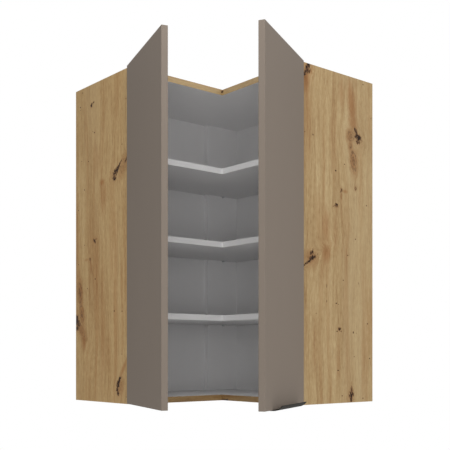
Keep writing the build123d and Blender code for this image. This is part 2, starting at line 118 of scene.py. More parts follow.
def wear(names, finish):
    """Gives the finish to the named CAD pieces."""
    for name in names:
        for slot in pieces[name].material_slots:
            slot.material = finish


# what the knots of a board hand on from one to the next: the place, how far
# the grain is moved aside, how dark the knots are here and how warm
handed_on = ("Across", "Along", "Shift", "Mark", "Warm")


def knot_group(name, words):
    """A group for one knot: it takes the handed-on values and the words, and gives the former."""
    group = bpy.data.node_groups.new(name, "ShaderNodeTree")
    for word in handed_on + words:
        group.interface.new_socket(word, in_out="INPUT", socket_type="NodeSocketFloat")
    for word in handed_on:
        group.interface.new_socket(word, in_out="OUTPUT", socket_type="NodeSocketFloat")
    given = group.nodes.new("NodeGroupInput").outputs[:len(handed_on + words)]
    return group, given, group.nodes.new("NodeGroupOutput").inputs


def hand_on(group, out, across, along, shift, mark, warm):
    """Gives the values on to the next knot.

    The place is moved by the mark times a length far too small to see, so
    that each knot waits for the one before it and few are held at once.
    """
    unseen = 1e-9
    moved = [calc(group, "MULTIPLY_ADD", mark, unseen, place) for place in (across, along)]
    for socket, value in zip(out, (*moved, shift, mark, warm)):
        group.links.new(value, socket)


def torn_knot():
    """One knot with a torn edge.

    A place's distance from it is taken in an upright oval, of width and
    stretch, that leans by the slant and is jogged by noise. Inside one width
    it is dark with pale splinters or, where it is a healed knot of middling
    darkness, drawn in fine ring lines, one for each half wave of the sine of
    the distance; a warm flush fades out to two widths. The grain runs
    round it as water runs round a pier: a place is moved across the grain by
    its distance times width squared over distance squared.
    """
    group, given, out = knot_group("oak_knot", (
        "Torn_across", "Torn_along", "Splinters", "At_across", "At_along", "Width", "Slant", "Stretch",
        "Dark", "Flush"))
    (across, along, shift, mark, warm, torn_across, torn_along, splinters, at_across, at_along, width,
     slant, stretch, dark, flush) = given

    def times(first, second):
        return calc(group, "MULTIPLY", first, second)

    beside = calc(group, "SUBTRACT", across, at_across)
    above = calc(group, "SUBTRACT", along, at_along)
    healed = spread(group, dark, 0.50, 0.62, 1.0, 0.0)
    jog_torn, jog_healed = 3.4, 1.0
    jog = times(width, calc(group, "MULTIPLY_ADD", healed, jog_healed - jog_torn, jog_torn))
    wide = calc(group, "SUBTRACT", calc(group, "MULTIPLY_ADD", torn_across, jog, beside), times(above, slant))
    tall = calc(group, "MULTIPLY_ADD", torn_along, jog, calc(group, "DIVIDE", above, stretch))
    square = calc(group, "MULTIPLY_ADD", wide, wide, times(tall, tall))
    distance = calc(group, "SQRT", square)
    reach = calc(group, "DIVIDE", distance, width)

    depth = calc(group, "MULTIPLY", dark, 2.5, clamp=True)
    own = times(width, width)
    pull = calc(group, "DIVIDE", own, calc(group, "MAXIMUM", square, times(own, 0.45)))
    shift = calc(group, "MULTIPLY_ADD", beside, times(pull, times(depth, 1.3)), shift)

    ring_wave = 430.0
    rings = calc(group, "ABSOLUTE", calc(group, "SINE", times(distance, ring_wave)))
    rings = spread(group, rings, 0.45, 1.0, 1.0, 0.0)
    core = times(spread(group, reach, 0.62, 1.48, 1.0, 0.0, smooth=True), splinters)
    core = times(core, calc(group, "MULTIPLY_ADD", rings, times(healed, -1.0), 1.0))
    faint = calc(group, "MULTIPLY_ADD", calc(group, "SUBTRACT", rings, 1.0), times(depth, 0.45), 1.0)
    halo = times(times(spread(group, reach, 0.3, 2.3, 1.0, 0.0, smooth=True), flush), faint)
    hand_on(group, out, across, along, shift, calc(group, "MAXIMUM", mark, times(core, dark)),
            calc(group, "MAXIMUM", warm, halo))
    return group


def small_knot():
    """A pin knot: an upright oval spot with a soft edge, dark from its centre."""
    group, given, out = knot_group("oak_pin_knot", ("At_across", "At_along", "Width", "Stretch", "Dark"))
    across, along, shift, mark, warm, at_across, at_along, width, stretch, dark = given
    wide = calc(group, "DIVIDE", calc(group, "SUBTRACT", across, at_across), width)
    tall = calc(group, "DIVIDE", calc(group, "SUBTRACT", along, at_along),
                calc(group, "MULTIPLY", width, stretch))
    square = calc(group, "MULTIPLY_ADD", wide, wide, calc(group, "MULTIPLY", tall, tall))
    spot = calc(group, "MULTIPLY", spread(group, square, 0.1, 1.5, 0.85, 0.0, smooth=True), dark)
    hand_on(group, out, across, along, shift, calc(group, "MAXIMUM", mark, spot), warm)
    return group


knot, pin_knot = torn_knot(), small_knot()


def tinted(colour, tint):
    """The colour with each part times the tint's."""
    return tuple(part * share for part, share in zip(colour, tint))


def oak(tree, across, along, knots, pins, seed, tint):
    """Oak colour and relief from the places across and along the grain, in metres.

    The grain is noise drawn out along the board, in broad bands, finer
    streaks, fibres and short flecks, all read at the place moved aside by the
    knots. Broad columns are paler, others flushed with red-brown. Each board
    has a tint: the left side's is lighter, painted light that stands in for
    light its face lacks, and the bottom band's is darker. A noise's scale is
    across, along and by the seed.
    """
    place = add(tree, "ShaderNodeCombineXYZ", across, along, seed).outputs[0]
    ragged = scaled(tree, place, (260.0, 95.0, 1.0))
    rag = add(tree, "ShaderNodeTexNoise", ragged, None, 1.0, 2.0, 0.6).outputs["Color"]
    rag = add(tree, "ShaderNodeVectorMath", rag, (0.5, 0.5, 0.5), operation="SUBTRACT").outputs[0]
    torn_across, torn_along, splinters = add(tree, "ShaderNodeSeparateXYZ", rag).outputs
    torn = (torn_across, torn_along, spread(tree, splinters, -0.10, 0.03, 0.42, 1.0))
    state = (across, along, 0.0, 0.0, 0.0)
    for kind, marks, edge in ((knot, knots, torn), (pin_knot, pins, ())):
        for centre, *shape in marks:
            at = add(tree, "ShaderNodeGroup", *state, *edge, *centre, *shape, node_tree=kind)
            state = at.outputs[:len(handed_on)]
    _, _, shift, mark, warm = state
    wander = speckle(tree, place, (3.0, 1.3, 1.0))
    line = calc(tree, "SUBTRACT", calc(tree, "MULTIPLY_ADD", wander, 0.03, across), shift)
    grain = add(tree, "ShaderNodeCombineXYZ", line, along, seed).outputs[0]
    bands = speckle(tree, grain, (17.0, 1.4, 1.0), 2.0, 0.55)
    streaks = speckle(tree, grain, (95.0, 4.5, 1.0), 4.0, 0.7)
    fibres = speckle(tree, grain, (300.0, 12.0, 1.0), 3.0, 0.75)
    flecks = speckle(tree, grain, (240.0, 60.0, 1.0), 2.0, 0.6)
    pores = spread(tree, speckle(tree, grain, (900.0, 26.0, 1.0), 1.0), 0.60, 0.74)
    tone = calc(tree, "MULTIPLY", streaks, 0.30)
    for layer, share in ((bands, 0.24), (fibres, 0.26), (flecks, 0.20)):
        tone = calc(tree, "MULTIPLY_ADD", layer, share, tone)
    ramp = add(tree, "ShaderNodeValToRGB", tone)
    stops = ((0.37, (0.270, 0.160, 0.066)), (0.455, (0.370, 0.246, 0.114)),
             (0.52, (0.430, 0.303, 0.147)), (0.62, (0.515, 0.387, 0.207)))
    while len(ramp.color_ramp.elements) < len(stops):
        ramp.color_ramp.elements.new(0.5)
    for stop, (where, colour) in zip(ramp.color_ramp.elements, stops):
        stop.position, stop.color = where, (*tinted(colour, tint), 1.0)

    pale = spread(tree, speckle(tree, grain, (9.0, 0.7, 1.0)), 0.50, 0.68, 0.0, 0.45)
    colour = blend(tree, pale, ramp.outputs[0], tinted((0.460, 0.348, 0.190), tint))
    flush = spread(tree, speckle(tree, grain, (30.0, 1.7, 1.0), 3.0), 0.49, 0.69, 0.0, 0.85)
    colour = blend(tree, flush, colour, (0.800, 0.660, 0.570), "MULTIPLY")
    colour = blend(tree, warm, colour, (0.740, 0.555, 0.450), "MULTIPLY")
    pore_brown, knot_brown, knot_black = (0.120, 0.070, 0.035), (0.125, 0.060, 0.027), (0.014, 0.007, 0.004)
    colour = blend(tree, calc(tree, "MULTIPLY", pores, 0.25), colour, pore_brown)
    colour = blend(tree, spread(tree, mark, 0.0, 0.50), colour, knot_brown)
    colour = blend(tree, spread(tree, mark, 0.46, 0.88), colour, knot_black)
    height = calc(tree, "SUBTRACT", calc(tree, "MULTIPLY", fibres, 0.4),
                  calc(tree, "MAXIMUM", calc(tree, "MULTIPLY", pores, 0.6), mark))
    return colour, height


def white_decor(tree, point):
    """Colour of a white board, faintly clouded."""
    return blend(tree, speckle(tree, point, 14.0), (0.773, 0.766, 0.767), (0.803, 0.796, 0.796))


def chipboard(tree, point):
    """Cut chipboard: pale and brown chips pressed together, with dark gaps."""
    chips = add(tree, "ShaderNodeTexVoronoi", point)
    chips.inputs["Scale"].default_value = 420.0
    kind = add(tree, "ShaderNodeSeparateColor", chips.outputs["Color"]).outputs[0]
    gap = spread(tree, speckle(tree, point, 500.0), 0.58, 0.70)
    colour = blend(tree, kind, (0.52, 0.37, 0.21), (0.30, 0.19, 0.10))
    return blend(tree, calc(tree, "MULTIPLY", gap, 0.6), colour, (0.10, 0.06, 0.03))


# knots: (across, up) in metres from the room corner, width, slant, stretch,
# darkness, flush; the pin knots have neither slant nor flush
left_knots = [
    ((0.0225, 0.3080), 0.0120, -0.10, 2.6, 0.48, 0.95), ((0.0330, 0.2480), 0.0110, -0.20, 2.2, 0.44, 0.95),
    ((0.0859, 0.8328), 0.0043, 0, 1.26, 0.95, 0.7), ((0.0978, 0.8385), 0.0031, 0.77, 0.83, 0.8, 0.3),
    ((0.2052, 0.6102), 0.0080, -0.19, 0.85, 1, 0.8), ((0.2137, 0.6253), 0.0108, 0.83, 0.91, 1, 0.8),
    ((0.2301, 0.6400), 0.0039, 0.91, 2.83, 0.95, 0.5), ((0.2082, 0.6216), 0.0046, 0.93, 1.08, 0.9, 0.4),
    ((0.2622, 0.6482), 0.0027, 0.62, 2.7, 0.8, 0.5), ((0.2506, 0.6364), 0.0147, 0.36, 1.65, 0.2, 0.7),
    ((0.1439, 0.6063), 0.0086, 0, 0.76, 0, 0.95), ((0.1501, 0.5684), 0.0117, 0, 2.42, 0, 0.55),
    ((0.1160, 0.6737), 0.0119, 0, 2.47, 0, 0.35), ((0.1016, 0.4504), 0.0048, -0.38, 1.06, 1, 0.8),
    ((0.1107, 0.4539), 0.0051, 0, 0.46, 0.43, 0.55), ((0.0794, 0.3994), 0.0038, 0, 1.11, 0.55, 0.7),
    ((0.0591, 0.3997), 0.0066, 0, 0.4, 0, 0.6), ((0.0848, 0.3778), 0.0033, -0.2, 4.24, 0.15, 0.7),
    ((0.0058, 0.2309), 0.0058, 0, 2.26, 1, 0.8), ((0.0149, 0.2206), 0.0072, 0, 1.79, 0.8, 0.9),
    ((0.0070, 0.2063), 0.0052, 0, 1.14, 0.95, 0.8), ((0.0341, 0.1985), 0.0146, -0.58, 1.59, 0.3, 0.9),
    ((0.0453, 0.1698), 0.0082, 0, 2.29, 0, 0.9), ((0.2315, 0.0640), 0.0046, 0.46, 1.76, 0.95, 0.8),
    ((0.2246, 0.0509), 0.0068, 0.19, 1.17, 1, 0.9), ((0.2207, 0.0368), 0.0056, 0, 1.21, 0.95, 0.9),
    ((0.2237, 0.0261), 0.0039, 0, 1.26, 0.8, 0.7), ((0.2365, 0.0443), 0.0108, 0.18, 2, 0.25, 0.8),
    ((0.2511, 0.0954), 0.0058, 0.65, 3.05, 0, 0.8), ((0.1734, 0.1381), 0.0115, 0, 3.66, 0, 0.3),
]
left_dots = [
    ((0.0251, 0.8404), 0.0025, 0.92, 0.9), ((0.0262, 0.8324), 0.0020, 0.7, 0.5),
    ((0.0369, 0.8795), 0.0034, 0.78, 0.35), ((0.1021, 0.7529), 0.0027, 0.73, 0.9),
    ((0.0935, 0.7575), 0.0019, 0.74, 0.5), ((0.0701, 0.6776), 0.0025, 0.68, 0.8),
    ((0.0324, 0.6843), 0.0020, 0.71, 0.45), ((0.0481, 0.6003), 0.0025, 0.79, 0.75),
    ((0.0144, 0.5460), 0.0022, 0.87, 0.7), ((0.0486, 0.4428), 0.0022, 0.78, 0.5),
    ((0.0144, 0.3903), 0.0020, 0.89, 0.8), ((0.1064, 0.3425), 0.0026, 0.95, 0.75),
    ((0.0646, 0.3181), 0.0019, 0.9, 0.7), ((0.2047, 0.2491), 0.0030, 1.08, 0.55),
    ((0.2433, 0.2470), 0.0027, 0.8, 0.55), ((0.2433, 0.6933), 0.0025, 0.64, 0.5),
    ((0.2627, 0.8108), 0.0024, 0.68, 0.4), ((0.2423, 0.1327), 0.0025, 0.64, 0.35),
    ((0.2646, 0.0186), 0.0024, 0.56, 0.4),
]
right_knots = [
    ((-0.0905, 0.7290), 0.0150, 0, 1.1, 0.36, 0.9), ((-0.0900, 0.7010), 0.0085, 0, 1.3, 0.42, 0.9),
    ((-0.0795, 0.6620), 0.0120, -0.10, 2.3, 0.50, 1),
    ((-0.2570, 0.8880), 0.0068, 0, 0.80, 1, 0.6), ((-0.2590, 0.8800), 0.0059, 0.3, 1.7, 1, 0.7),
    ((-0.2612, 0.8728), 0.0068, 0.43, 1.08, 1, 0.8), ((-0.2655, 0.8672), 0.0048, 0.6, 1.5, 0.95, 0.6),
    ((-0.2695, 0.8610), 0.0041, 0.71, 1.41, 0.9, 0.6), ((-0.2525, 0.8722), 0.0052, 0, 0.86, 0.72, 0.9),
    ((-0.2660, 0.8530), 0.0072, 0, 1.9, 0, 0.9),
    ((-0.2648, 0.8405), 0.0083, 0, 2.11, 0, 0.7), ((-0.0887, 0.8171), 0.0105, -0.1, 4.26, 0, 1),
    ((-0.0838, 0.7687), 0.0123, -0.15, 1.48, 0, 0.8), ((-0.1283, 0.8420), 0.0075, 0, 3.78, 0, 0.5),
    ((-0.0711, 0.7462), 0.0043, -0.52, 1.78, 1, 0.5), ((-0.0603, 0.7304), 0.0096, -0.47, 1.09, 1, 0.8),
    ((-0.0727, 0.7322), 0.0037, 0, 1.32, 0.7, 0.6), ((-0.0636, 0.7166), 0.0047, 0, 1.23, 0.85, 0.5),
    ((-0.1295, 0.5752), 0.0036, 0, 1.65, 0.6, 0.8),
    ((-0.1143, 0.5743), 0.0075, 0, 0.45, 0, 0.8), ((-0.1291, 0.5603), 0.0028, 0, 2.89, 0.25, 0.6),
    ((-0.0715, 0.5879), 0.0041, 0, 1.33, 0.52, 0.65), ((-0.1486, 0.5329), 0.0049, 0, 0.94, 0.95, 0.9),
    ((-0.1470, 0.5177), 0.0019, 0, 5.54, 0.3, 0.5), ((-0.2402, 0.3854), 0.0083, 0.85, 0.89, 1, 0.9),
    ((-0.2429, 0.3988), 0.0056, 0.44, 1.23, 0.9, 0.7), ((-0.2563, 0.3732), 0.0046, 1.57, 2.99, 1, 0.6),
    ((-0.2488, 0.3790), 0.0040, 1.3, 2.2, 0.9, 0.8),
    ((-0.2462, 0.3839), 0.0185, 0, 0.98, 0.15, 0.8), ((-0.1873, 0.4015), 0.0117, 0, 1.38, 0, 0.8),
    ((-0.1893, 0.4759), 0.0102, 0, 3.05, 0, 0.6), ((-0.1522, 0.4527), 0.0075, 0, 4.68, 0, 0.4),
    ((-0.1359, 0.2007), 0.0050, 0, 0.8, 0.85, 0.8), ((-0.0887, 0.0193), 0.0072, 0, 1.58, 1, 0.9),
    ((-0.0883, 0.0357), 0.0033, 0, 3.41, 0.6, 0.9), ((-0.0887, 0.0056), 0.0033, 0, 1.02, 0.75, 0.8),
    ((-0.2312, 0.1563), 0.0071, 0, 7.11, 0, 0.35), ((-0.1423, 0.1219), 0.0060, 0, 6.08, 0, 0.45),
]
right_dots = [
    ((-0.1514, 0.6259), 0.0030, 0.81, 0.9), ((-0.1163, 0.6480), 0.0022, 0.74, 0.8),
    ((-0.2387, 0.7080), 0.0033, 0.78, 0.45), ((-0.2692, 0.7107), 0.0018, 0.84, 0.7),
    ((-0.0402, 0.8802), 0.0029, 0.76, 0.5), ((-0.0063, 0.7923), 0.0017, 1.3, 0.5),
    ((-0.1604, 0.5292), 0.0023, 0.78, 0.45), ((-0.0255, 0.5459), 0.0021, 0.91, 0.8),
    ((-0.0715, 0.4482), 0.0021, 1.07, 0.7), ((-0.1034, 0.4015), 0.0031, 0.53, 0.6),
    ((-0.1211, 0.3326), 0.0024, 0.79, 0.6), ((-0.0590, 0.3273), 0.0016, 2.14, 0.35),
    ((-0.1865, 0.3137), 0.0027, 2.23, 0.3), ((-0.1490, 0.2691), 0.0031, 0.69, 0.8),
    ((-0.1403, 0.2668), 0.0020, 0.68, 0.5), ((-0.1865, 0.2733), 0.0023, 1.71, 0.4),
    ((-0.2267, 0.2398), 0.0023, 0.8, 0.35), ((-0.1459, 0.1938), 0.0028, 0.77, 0.65),
    ((-0.1299, 0.1941), 0.0024, 0.9, 0.6), ((-0.0805, 0.1917), 0.0023, 1.44, 0.85),
    ((-0.0682, 0.1897), 0.0021, 0.51, 0.4), ((-0.0212, 0.2169), 0.0025, 0.89, 0.7),
    ((-0.0123, 0.1201), 0.0026, 0.76, 0.8), ((-0.0764, 0.1253), 0.0025, 0.66, 0.45),
    ((-0.1415, 0.0884), 0.0040, 0.41, 0.7), ((-0.1251, 0.0194), 0.0024, 1.01, 0.5),
    ((-0.0406, 0.0098), 0.0029, 0.83, 0.5),
]

# leg, depth, height and board are the cabinet's, in metres; a face's own
# finish reaches a hair under it
leg, depth, height, board, hair = 0.600, 0.288, 0.891, 0.016, 0.0002
# the left board's tint is lighter than the right's: painted light, making up for light the lamps give its
# face too little of
for side, knots, pins, seed, tint in (("left", left_knots, left_dots, 3.0, (1.13, 1.075, 1.03)),
                                      ("right", right_knots, right_dots, 11.0, (0.995, 1.00, 1.04))):
    finish, tree, shader, place = new_finish(side + "_oak_board", Roughness=0.62, Specular_IOR_Level=0.12)
    x, y, z = add(tree, "ShaderNodeSeparateXYZ", place).outputs
    # how far the place is off the wall, and along it from the corner, where it is 0 and less
    off_wall, along_wall = (x, y) if side == "left" else (
        calc(tree, "MULTIPLY", y, -1.0), calc(tree, "MULTIPLY", x, -1.0))
    colour, rise = oak(tree, x if side == "left" else y, z, knots, pins, seed, tint)
    inside = calc(tree, "GREATER_THAN", along_wall, board - leg - hair)
    colour = blend(tree, inside, colour, white_decor(tree, place))
    raw = calc(tree, "MAXIMUM", calc(tree, "LESS_THAN", off_wall, hair),
               calc(tree, "GREATER_THAN", z, height - hair))
    tree.links.new(blend(tree, raw, colour, chipboard(tree, place)), shader.inputs["Base Color"])
    rise = calc(tree, "MULTIPLY", rise, calc(tree, "SUBTRACT", 1.0, inside))
    relief(tree, shader, rise, depth=0.00025, strength=0.6)
    wear([side + "_side_panel"], finish)


# ---- Top, bottom, shelves and corner board ----------------------------------
# White faced chipboard of 16 mm, cut to an L for the corner. The front edges
# of the top and bottom are banded in the oak of the sides.
def pearl(tree, place):
    """The fine grain of a smooth decor, for its relief."""
    return speckle(tree, place, 900.0)


finish, tree, shader, place = new_finish("white_board", Roughness=0.42, Specular_IOR_Level=0.45)
tree.links.new(white_decor(tree, place), shader.inputs["Base Color"])
relief(tree, shader, pearl(tree, place), depth=0.00004, strength=0.5)
wear(["shelf_lower", "shelf_middle", "shelf_upper", "corner_post"], finish)

# the knots in the bands: (up, along the edge), and as above
top_knots = [((0.8860, 0.0005), 0.0030, 0, 1.3, 0.8, 0.6), ((0.8925, 0.0170), 0.0022, 0, 2.2, 0.9, 0.6)]
bottom_knots = [((0.0020, 0.0030), 0.0022, 0, 3.5, 0.8, 0.8), ((0.0018, 0.0170), 0.0026, 0, 3.5, 1.0, 0.8)]
# the bottom band's tint is darker than the top's
for level, seed, tint, knots in (("top", 5.0, (0.98, 0.96, 0.92), top_knots),
                                 ("bottom", 8.0, (0.72, 0.66, 0.56), bottom_knots)):
    finish, tree, shader, place = new_finish(level + "_board_oak_band", Roughness=0.45,
                                             Specular_IOR_Level=0.4)
    x, y, z = add(tree, "ShaderNodeSeparateXYZ", place).outputs
    band, _ = oak(tree, z, calc(tree, "ADD", x, y), knots, [], seed, tint)
    front = calc(tree, "MINIMUM", calc(tree, "GREATER_THAN", x, depth - hair),
                 calc(tree, "LESS_THAN", y, hair - depth))
    tree.links.new(blend(tree, front, white_decor(tree, place), band), shader.inputs["Base Color"])
    relief(tree, shader, pearl(tree, place), depth=0.00004, strength=0.5)
    wear([level + "_panel"], finish)


# ---- Back boards -------------------------------------------------------------
# Hardboard of 3 mm let into the rear edges of the sides: lacquered white on
# the inside, raw and brown with its pressed fibres on the wall side.
finish, tree, shader, place = new_finish("back_board", Roughness=0.50, Specular_IOR_Level=0.4)
fibre = speckle(tree, place, 240.0, 4.0, 0.7)
cloud = speckle(tree, place, 9.0)
wool = spread(tree, speckle(tree, place, (90.0, 90.0, 620.0), 4.0, 0.75), 0.36, 0.64)
x, y, _ = add(tree, "ShaderNodeSeparateXYZ", place).outputs
behind = calc(tree, "MAXIMUM", calc(tree, "LESS_THAN", x, hair), calc(tree, "GREATER_THAN", y, -hair))
lacquer = blend(tree, cloud, (0.763, 0.756, 0.757), (0.793, 0.786, 0.787))
brown = blend(tree, wool, (0.225, 0.135, 0.070), (0.375, 0.245, 0.140))
brown = blend(tree, cloud, brown, (0.300, 0.190, 0.105))
tree.links.new(blend(tree, behind, lacquer, brown), shader.inputs["Base Color"])
rise = add(tree, "ShaderNodeMix", behind, None, fibre, wool).outputs[0]
relief(tree, shader, rise, depth=0.00010, strength=0.6)
wear(["left_back_panel", "right_back_panel"], finish)


# ---- Doors -------------------------------------------------------------------
# Boards of 16 mm in a plain grey-brown matt decor on both faces and all edges.
finish, tree, shader, place = new_finish("door_board", Roughness=0.68, Specular_IOR_Level=0.07)
dust = speckle(tree, place, 1500.0)
base = blend(tree, speckle(tree, place, 7.0), (0.2150, 0.1775, 0.1465), (0.2255, 0.1868, 0.1535))
tree.links.new(blend(tree, spread(tree, dust, 0.35, 0.65, 0.0, 0.16), base, (0.260, 0.220, 0.185)),
               shader.inputs["Base Color"])
relief(tree, shader, dust, depth=0.00004, strength=0.5)
wear(["left_door_panel", "right_door_panel"], finish)


# ---- Grip ----------------------------------------------------------------------
# Rolled aluminium profile, anodised black and satin, under the right door.
def mottled(name, first, second, grain, depth, strength, dull_by=None, **fixed):
    """A finish of two colours mixed by a noise, which is its relief as well.

    The grain is the noise's scale, detail and roughness. Where dull_by gives
    two roughnesses of the surface, the noise leads from one to the other.
    """
    finish, tree, shader, place = new_finish(name, **fixed)
    noise = speckle(tree, place, *grain)
    tree.links.new(blend(tree, noise, first, second), shader.inputs["Base Color"])
    if dull_by:
        tree.links.new(spread(tree, noise, 0.3, 0.7, *dull_by), shader.inputs["Roughness"])
    relief(tree, shader, noise, depth, strength)
    return finish


brushed = (60.0, 60.0, 1800.0)
black_grip = mottled("black_grip", (0.020, 0.0175, 0.0135), (0.028, 0.0250, 0.0200), grain=(brushed, 2.0),
                     depth=0.00002, strength=0.5, Roughness=0.50, Specular_IOR_Level=0.02)
wear(["handle_grip"], black_grip)


# ---- Hinges and joints ------------------------------------------------------------
# Pressed steel and cast zinc, nickel-plated; bolts and pins of zinc-plated steel.
def metal(name, dull, bright, rough, scale):
    """A plated metal with faint clouds, a little smoother or rougher than its roughness."""
    return mottled(name, dull, bright, grain=(scale, 3.0, 0.6), depth=0.00001, strength=0.3,
                   dull_by=(rough - 0.03, rough + 0.04), Metallic=1.0)


def stand_in(name, ending, mesh, finish, body):
    """Puts a mesh in the place of the CAD piece of that name."""
    mesh.materials.append(finish)
    piece = bpy.data.objects.new(name + ending, mesh)
    bpy.context.scene.collection.objects.link(piece)
    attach(piece, body)
    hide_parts(name)


def roll_edges(name, body, finish, width):
    """A part with its cut edges rolled over as they are in the press or the mould.

    The part's own triangles are joined and its flat faces made whole; then
    each edge between faces more than 35 degrees apart becomes a round of the
    given width in three strips, and the normals are smooth across it. Points
    and faces are put in the order of their places, so each run gives the same.
    """
    same_point, same_plane = 1e-6, math.radians(0.5)
    cut_angle, smooth_angle = math.radians(35.0), math.radians(40.0)
    work = bmesh.new()
    work.from_mesh(pieces[name].data)
    bmesh.ops.remove_doubles(work, verts=work.verts, dist=same_point)
    bmesh.ops.dissolve_limit(work, angle_limit=same_plane, verts=work.verts, edges=work.edges)
    cut = [edge for edge in work.edges if edge.is_manifold and edge.calc_face_angle() > cut_angle]
    bmesh.ops.bevel(work, geom=cut, offset=width, offset_type="OFFSET", segments=3, profile=0.5,
                    affect="EDGES", clamp_overlap=True)
    bmesh.ops.triangulate(work, faces=[face for face in work.faces if len(face.verts) > 4])
    for elements, where in ((work.verts, lambda point: tuple(point.co)),
                            (work.faces, lambda face: tuple(face.calc_center_median()))):
        rank = {element: k for k, element in enumerate(sorted(elements, key=where))}
        elements.sort(key=rank.get)
    mesh = bpy.data.meshes.new(name + "_rolled")
    work.to_mesh(mesh)
    work.free()
    mesh.shade_smooth()
    mesh.set_sharp_from_angle(angle=smooth_angle)
    mesh.materials.clear()
    stand_in(name, "_rolled", mesh, finish, body)


hinge_steel = metal("hinge_steel", (0.60, 0.59, 0.57), (0.67, 0.66, 0.64), rough=0.27, scale=420.0)
zinc_cast = metal("zinc_cast", (0.50, 0.50, 0.49), (0.62, 0.62, 0.61), rough=0.36, scale=260.0)
screw_steel = metal("screw_steel", (0.56, 0.57, 0.58), (0.66, 0.66, 0.66), rough=0.30, scale=900.0)

for side in ("left", "right"):
    for level in ("lower", "upper"):
        stem = side + "_" + level + "_hinge_"
        for part, body, width in (("arm", "carcass", 0.0004),
                                  ("inner_link", side + "_inner_links", 0.0002),
                                  ("outer_link", side + "_outer_links", 0.0003),
                                  ("cup", side + "_door", 0.0003)):
            roll_edges(stem + part, body, hinge_steel, width)
        roll_edges(stem + "plate", "carcass", zinc_cast, 0.0004)
    roll_edges(side + "_hanger_hook", "carcass", hinge_steel, 0.0004)
roll_edges("cam_locks", "carcass", zinc_cast, 0.0003)
wear(["cam_bolts", "post_screws", "shelf_pins"], screw_steel)

dowel_wood = mottled("dowel_wood", (0.50, 0.36, 0.22), (0.64, 0.49, 0.32), grain=(500.0, 3.0),
                     depth=0.0001, strength=0.6, Roughness=0.6)
wear(["dowels"], dowel_wood)


# ---- Screws ---------------------------------------------------------------------------
# Steel, cold headed with a cross recess and rolled threads: flat heads in the
# hinge cups and the grip, round caps on the hinge plates and arms, and the
# hangers' headless adjusters. Sizes are in millimetres until they are placed.
def turned_screw(head, cap, seat, shank, length, pitch, arm, deep):
    """A screw whose axis is z, its face at z = 0, as grid points and quads.

    Head, seat and shank are radii, the cap is the head's height, and arm and
    deep are the cross's. A profile of radius against height runs from the
    middle of the face, over the rim and the seat, along the shank and in to
    the point, and is turned round the axis. Along the shank the radius is the
    thread's, a triangular wave of height over pitch plus turn, which winds it
    into a helix. On the face the height falls by the cross: full depth where
    the distance to the nearer of two crossing lines is under the arm's width,
    none past its end.
    """
    columns, face_rings, rings_per_turn = 40, 15, 5
    crown, point_long, thread_share = 0.10, 0.8, 0.22
    face_r = np.linspace(0.08, 0.93 * head, face_rings)
    face_z = -crown * (face_r / head) ** 2
    rim_r = np.array([0.98 * head, head, head, seat, shank])
    rim_z = np.array([-0.16, -0.30, -max(cap, 0.32), -cap - (head - seat) * 0.02,
                      -cap - max(seat - shank, 0.05)])
    steps = int(rings_per_turn * (length - cap) / pitch)
    shank_z = np.linspace(rim_z[-1], point_long - length, steps)
    point_r = np.array([0.80, 0.45, 0.12]) * shank
    point_z = np.array([0.5, 0.2, 0.0]) - length
    radius = np.concatenate([face_r, rim_r, np.full(steps, shank), point_r])[:, None]
    height = np.concatenate([face_z, rim_z, shank_z, point_z])[:, None]
    turn = np.linspace(0.0, 2.0 * np.pi, columns + 1)[None, :-1]

    first = face_rings + len(rim_r)
    on_shank, on_face = np.zeros_like(height), np.zeros_like(height)
    on_shank[first + 1:first + steps] = 1.0
    on_face[:face_rings] = 1.0
    wave = np.abs(((height / pitch + turn / (2.0 * np.pi)) % 1.0) - 0.5) * 2.0
    radius = radius * (1.0 - thread_share * wave * on_shank)
    near = radius * np.minimum(np.abs(np.sin(turn)), np.abs(np.cos(turn)))
    cross = np.clip((0.20 * arm + 0.10 - near) / 0.20, 0.0, 1.0) * np.clip((arm - radius) / 0.25, 0.0, 1.0)
    height = height - deep * cross * on_face * (1.0 - 0.4 * radius / head)

    points = np.stack(np.broadcast_arrays(radius * np.cos(turn), radius * np.sin(turn), height), axis=-1)
    at = np.arange(len(radius) * columns).reshape(-1, columns)
    beside = np.roll(at, -1, axis=1)
    quads = np.stack([at[:-1], at[1:], beside[1:], beside[:-1]], axis=-1).reshape(-1, 4)
    ends = [at[0].tolist(), at[-1, ::-1].tolist()]
    return points.reshape(-1, 3), quads.tolist() + ends


def fasten(name, body, screw, places):
    """One piece of equal screws, each set by its face's middle and the direction it looks in.

    No two stand with their crosses at the same turn.
    """
    points, faces = screw
    made, joined = [], []
    for k, (x, y, z, out_x, out_y) in enumerate(places):
        angle = 0.4 + 1.3 * k
        aside = points[:, 0] * math.cos(angle) - points[:, 1] * math.sin(angle)
        upward = points[:, 0] * math.sin(angle) + points[:, 1] * math.cos(angle)
        made.append(np.stack([x - out_y * aside + out_x * points[:, 2],
                              y + out_x * aside + out_y * points[:, 2], z + upward], axis=1) / 1000.0)
        joined += [[i + k * len(points) for i in face] for face in faces]
    mesh = bpy.data.meshes.new(name + "_turned")
    mesh.from_pydata(np.concatenate(made).tolist(), [], joined)
    mesh.shade_smooth()
    mesh.set_sharp_from_angle(angle=math.radians(35.0))
    stand_in(name, "_turned", mesh, screw_steel, body)


leg_mm, depth_mm = 1000.0 * leg, 1000.0 * depth


def on_sides(back, inward, z):
    """A place on each leg, with the direction inward there.

    It is so far behind the front edge and so far inward of the side's outer face.
    """
    return ((depth_mm - back, inward - leg_mm, z, 0, 1), (leg_mm - inward, back - depth_mm, z, -1, 0))


